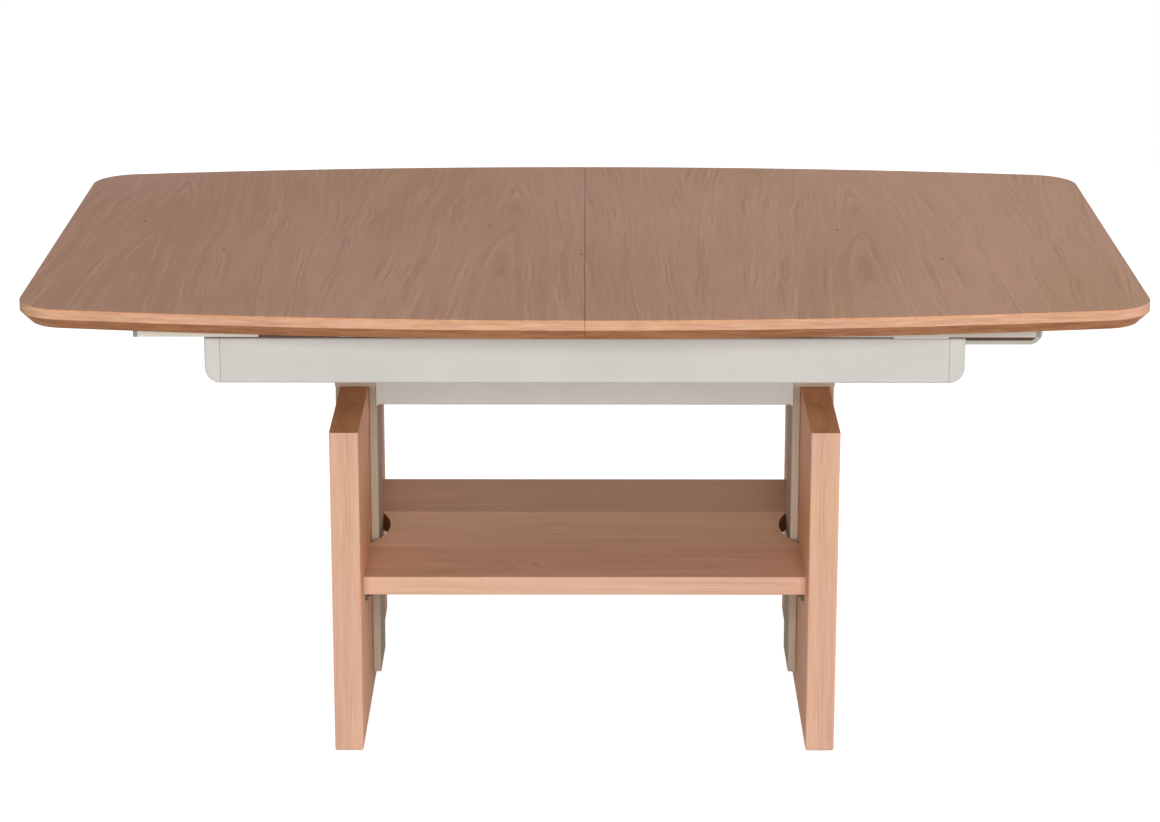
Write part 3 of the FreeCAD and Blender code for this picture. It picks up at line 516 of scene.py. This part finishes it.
# Painted, moulded and bare metal finishes: how far colour and roughness swing with the tone
coat_swing = {"low": 0.30, "high": 0.72, "dim": 0.93, "bright": 1.05, "smoother": 0.07, "rougher": 0.07}
moulding_swing = {"low": 0.30, "high": 0.70, "dim": 0.94, "bright": 1.05, "smoother": 0.08, "rougher": 0.08}
metal_swing = {"low": 0.30, "high": 0.70, "dim": 0.86, "bright": 1.06, "smoother": 0.08, "rougher": 0.10}
wear_low, wear_high = 0.3, 0.7
peel_share, dust_share, dust_grain_share = 0.35, 0.65, 0.013
pit_share, flow_share, flow_rate = 0.4, 0.6, 18.0
drawn_share, bloom_share, drawn_length, bloom_rate = 0.5, 0.5, 2.0, 26.0
plain_specular = 0.4


def swung_colour(m, tone, colour, swing):
    dim, bright = shade(colour, swing["dim"]), shade(colour, swing["bright"])
    return m.ramp(tone, [(swing["low"], dim), (swing["high"], bright)])


def swung_roughness(m, tone, roughness, swing):
    smoothest, roughest = roughness - swing["smoother"], roughness + swing["rougher"]
    return m.span(tone, wear_low, wear_high, smoothest, roughest, smooth=False)


def paint(name, colour, grain, depth, roughness, specular=plain_specular, side_tint=None):
    """Powder coat: a fine orange peel, slow tone changes and a little dust in the texture."""
    m = Shade(name)
    peel = m.noise(even_noise, m.place, grain)
    dust = m.noise(dust_noise, m.place, grain * dust_grain_share)
    tone = m.total(m.scaled(peel, peel_share), m.scaled(dust, dust_share))
    tint = swung_colour(m, tone, colour, coat_swing)
    # painted light: faces that look along x are made lighter by the side tint
    if side_tint:
        tint = m.blend(m.faces(m.split(m.facing)["x"]), tint, side_tint, "MULTIPLY")
    rough = swung_roughness(m, tone, roughness, coat_swing)
    return m.surface(tint, rough, m.bump(peel, depth), Specular_IOR_Level=specular)


def moulded(name, colour, grain, depth, roughness, specular=plain_specular):
    """Moulded plastic: a spark-eroded texture, with faint flow tones."""
    m = Shade(name)
    pits = m.noise(pit_noise, m.place, grain)
    flow = m.noise(even_noise, m.place, flow_rate)
    tone = m.total(m.scaled(pits, pit_share), m.scaled(flow, flow_share))
    tint = swung_colour(m, tone, colour, moulding_swing)
    rough = swung_roughness(m, pits, roughness, moulding_swing)
    return m.surface(tint, rough, m.bump(pits, depth), Specular_IOR_Level=specular)


def metal(name, colour, along, grain, depth, roughness):
    """Bare metal with drawing or rolling lines along one axis, and a soft bloom."""
    m = Shade(name)
    axis = m.split(m.place)
    lines = m.field(line_noise, *[(axis[key], drawn_length if key == along else grain) for key in "xyz"])
    bloom = m.noise(bloom_noise, m.place, bloom_rate)
    tone = m.total(m.scaled(lines, drawn_share), m.scaled(bloom, bloom_share))
    tint = swung_colour(m, tone, colour, metal_swing)
    rough = swung_roughness(m, tone, roughness, metal_swing)
    return m.surface(tint, rough, m.bump(lines, depth), Metallic=1.0)


# Wood of each slot: its light and dark colour, the strength of its marks, and how its boards are cut.
# Among the marks, break shortens the hair lines, edge_drift_share is what the edges keep of the drift,
# and the last one is painted light and shade: the change of tone per metre along the table, which makes
# the veneer lighter and the shelf darker towards +x. A shelf tint holds from its place backwards.
veneer_colours = ((0.750, 0.450, 0.312), (0.566, 0.314, 0.208))
edge_colours = ((0.628, 0.372, 0.243), (0.462, 0.250, 0.152))
leg_colours = ((0.684, 0.436, 0.309), (0.506, 0.296, 0.190))
shelf_colours = ((0.700, 0.450, 0.334), (0.517, 0.306, 0.205))
veneer_marks = {"band": 0.9, "line": 1.3, "hair": 1.4, "fibre": 0.35, "fleck": 0.20, "drift": 1.5,
                "board": 0.10, "joint": 0.0, "knot": 0.6, "hue": 0.8, "break": 1.0,
                "edge_drift_share": 1.0, "lean": -0.44}
leg_marks = {"band": 1.0, "line": 0.9, "hair": 1.5, "fibre": 0.50, "fleck": 0.20, "drift": 0.6,
             "board": 0.25, "joint": 0.20, "knot": 0.6, "hue": 1.0, "break": 2.0,
             "edge_drift_share": 1.0, "lean": 0.0}
shelf_marks = {"band": 0.8, "line": 0.8, "hair": 0.7, "fibre": 0.35, "fleck": 0.16, "drift": 1.6,
               "board": 0.25, "joint": 0.35, "knot": 0.6, "hue": 0.45, "break": 1.0,
               "edge_drift_share": 0.25, "lean": 0.55}
veneer_cut = {"along": "y", "across": "x", "through": "z", "pith": 0.018, "taper": 0.045, "band": 0.014,
              "skew": 0.2, "colours": veneer_colours, "marks": veneer_marks}
solid_cut = {"taper": 0.012, "band": 0.009}
shelf_tints = ((-0.0822, (1.04, 1.12, 1.12)), (0.0573, (0.76, 0.74, 0.76)))
# The tints on the broad faces of legs and shelf are painted warm bounce light.
wood_rows = {
    "top_veneer": {"name": "top_veneer_wood", "face": table_height, "width": 0.418, "start": -0.295,
                   "slip": -0.0215, "knots": ((-0.029, 0.057), (0.082, -0.091)), **veneer_cut},
    "leaf_veneer": {"name": "leaf_veneer_wood", "face": 0.500, "width": 0.30, "start": -0.225, **veneer_cut},
    "leg_wood": {"name": "leg_wood_grain", "along": "z", "across": "y", "through": "x", "face": 0.2735,
                 "width": 0.1255, "start": -0.2505, "pith": 0.170, "colours": leg_colours, "marks": leg_marks,
                 "face_tint": (1.29, 1.12, 0.92), **solid_cut},
    "shelf_wood": {"name": "shelf_wood_grain", "along": "x", "across": "y", "through": "z", "face": 0.196,
                   "width": 0.1395, "start": -0.2217, "pith": 0.060, "colours": shelf_colours,
                   "marks": shelf_marks, "knots": ((-0.148, -0.057),), "face_tint": (1.090, 0.977, 0.872),
                   "steps": shelf_tints, "notch": 0.090, **solid_cut},
}

# Paint, plastic and metal of each slot: colour, fineness of the texture, its depth, and roughness
powder_coat = {"grain": 1100.0, "depth": 0.00006, "roughness": 0.46}
satin_coat = {"grain": 1400.0, "depth": 0.00002, "roughness": 0.50, "specular": 0.2}
coat_rows = {
    "frame_paint": {"name": "frame_powder_coat", "colour": (0.493, 0.474, 0.445), **powder_coat},
    "runner_aluminium": {"name": "runner_grey_coat", "colour": (0.475, 0.442, 0.384), **satin_coat},
    "cylinder_paint": {"name": "cylinder_enamel", "colour": (0.025, 0.025, 0.027), "grain": 700.0,
                       "depth": 0.00002, "roughness": 0.30},
}
moulding_rows = {
    "cap_plastic": {"name": "cap_moulding", "colour": (0.500, 0.481, 0.452), "grain": 1500.0,
                    "depth": 0.00004, "roughness": 0.44},
    "guide_plastic": {"name": "guide_moulding", "colour": (0.66, 0.65, 0.61), "grain": 1300.0,
                      "depth": 0.00003, "roughness": 0.38},
    "gear_plastic": {"name": "gear_moulding", "colour": (0.07, 0.07, 0.075), "grain": 1600.0,
                     "depth": 0.00003, "roughness": 0.40},
    "foot_plastic": {"name": "foot_moulding", "colour": (0.05, 0.045, 0.04), "grain": 1500.0,
                     "depth": 0.00004, "roughness": 0.50},
    "runner_cap_plastic": {"name": "runner_cap_moulding", "colour": (0.24, 0.23, 0.22), "grain": 1500.0,
                           "depth": 0.00004, "roughness": 0.46},
}
metal_rows = {
    "rod_chrome": {"name": "rod_plating", "colour": (0.72, 0.72, 0.73), "along": "z", "grain": 2400.0,
                   "depth": 0.000005, "roughness": 0.16},
    "zinc_steel": {"name": "zinc_plate", "colour": (0.52, 0.51, 0.49), "along": "x", "grain": 900.0,
                   "depth": 0.00002, "roughness": 0.42},
    "lever_steel": {"name": "lever_satin_steel", "colour": (0.435, 0.402, 0.354), "along": "x",
                    "grain": 1800.0, "depth": 0.00001, "roughness": 0.34},
}

# Coats of single nodes, where a piece differs from the rest of its material slot; the column, stretcher and
# left runner coats are darker or lighter copies of their slot's coat, painted shade and painted light
# painted shade: the columns get a darker, browner copy of the frame paint, with their sides along x painted
# lighter
column_shaded_coat = {"name": "column_shaded_powder_coat", "colour": (0.440, 0.350, 0.272), "grain": 1100.0,
               "depth": 0.00006, "roughness": 0.70, "specular": 0.12, "side_tint": (1.22, 1.28, 1.24)}
# painted light: the stretcher and its brackets get a lighter copy of the frame paint
stretcher_lit_coat = {"name": "stretcher_lit_powder_coat", "colour": (0.567, 0.541, 0.511), **powder_coat}
bracket_coat = {"name": "bracket_black_zinc", "colour": (0.150, 0.110, 0.080), "grain": 900.0,
                "depth": 0.00002, "roughness": 0.80, "specular": 0.03}
# painted light: the left runners get a paler copy of the runner coat
runner_lit_coat = {"name": "runner_lit_pale_coat", "colour": (0.645, 0.612, 0.520), **satin_coat}
column_nodes = [f"{end}_{piece}" for end in ("left", "right")
                for piece in ("column_inner", "column_outer", "column_head")]
node_rows = ((column_shaded_coat, column_nodes),
             (stretcher_lit_coat, ["stretcher_plate", "left_stretcher_bracket", "right_stretcher_bracket"]),
             (bracket_coat, ["shelf_brackets", "shelf_screws"]),
             (runner_lit_coat, ["left_front_runner", "left_back_runner"]))


def dress_nodes():
    finishes = {"edge_wood": lipping_wood("edge_wood_grain", edge_colours)}
    for make, rows in ((wood, wood_rows), (paint, coat_rows), (moulded, moulding_rows), (metal, metal_rows)):
        finishes.update({slot: make(**row) for slot, row in rows.items()})
    node_finishes = {}
    for row, nodes in node_rows:
        node_finishes.update(dict.fromkeys(nodes, paint(**row)))
    for row in frame["record"]["subparts"]:
        node = row["node"]
        finish = node_finishes.get(node, finishes[row["material_slot"]])
        frame["nodes"][node].material_slots[0].material = finish


# A thin dark sheet on the right half's seam face: painted shade that keeps the seam dark and stops light
# showing through the gap
shadow_sheet_left, shadow_sheet_right = -0.00025, 0.00030
shadow_sheet_inset = 0.0007
edge_height = 0.0113
bevel_size = 0.0127
# finish of the sheet of painted shade
seal_felt = {"name": "seal_felt", "colour": (0.060, 0.030, 0.018), "grain": 2400.0, "depth": 0.00005,
             "roughness": 0.90, "specular": 0.02}


def add_painted_seam_shadow():
    half = cad_box[1][1] - shadow_sheet_inset
    top = table_height - shadow_sheet_inset
    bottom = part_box("right_edge_lipping")[0][2] + shadow_sheet_inset
    shoulder = table_height - edge_height
    corner = half - bevel_size
    side = [(half, top), (half, shoulder), (corner, bottom)]
    profile = side + [(-y, z) for y, z in reversed(side)]
    points = [(x, y, z) for x in (shadow_sheet_left, shadow_sheet_right) for y, z in profile]
    count = len(profile)
    faces = [tuple(range(count)), tuple(range(2 * count - 1, count - 1, -1))]
    for here in range(count):
        after = (here + 1) % count
        faces.append((here, here + count, after + count, after))
    mesh = bpy.data.meshes.new("seam_seal")
    mesh.from_pydata(points, [], faces)
    mesh.materials.append(moulded(**seal_felt))
    shadow_sheet = put_in_scene("seam_seal", mesh)
    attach(shadow_sheet, "right_top")


add_camera()
add_softboxes()
add_backdrop()
add_floor()
dress_nodes()
add_painted_seam_shadow()
bpy.context.scene.view_settings.view_transform = "Standard"
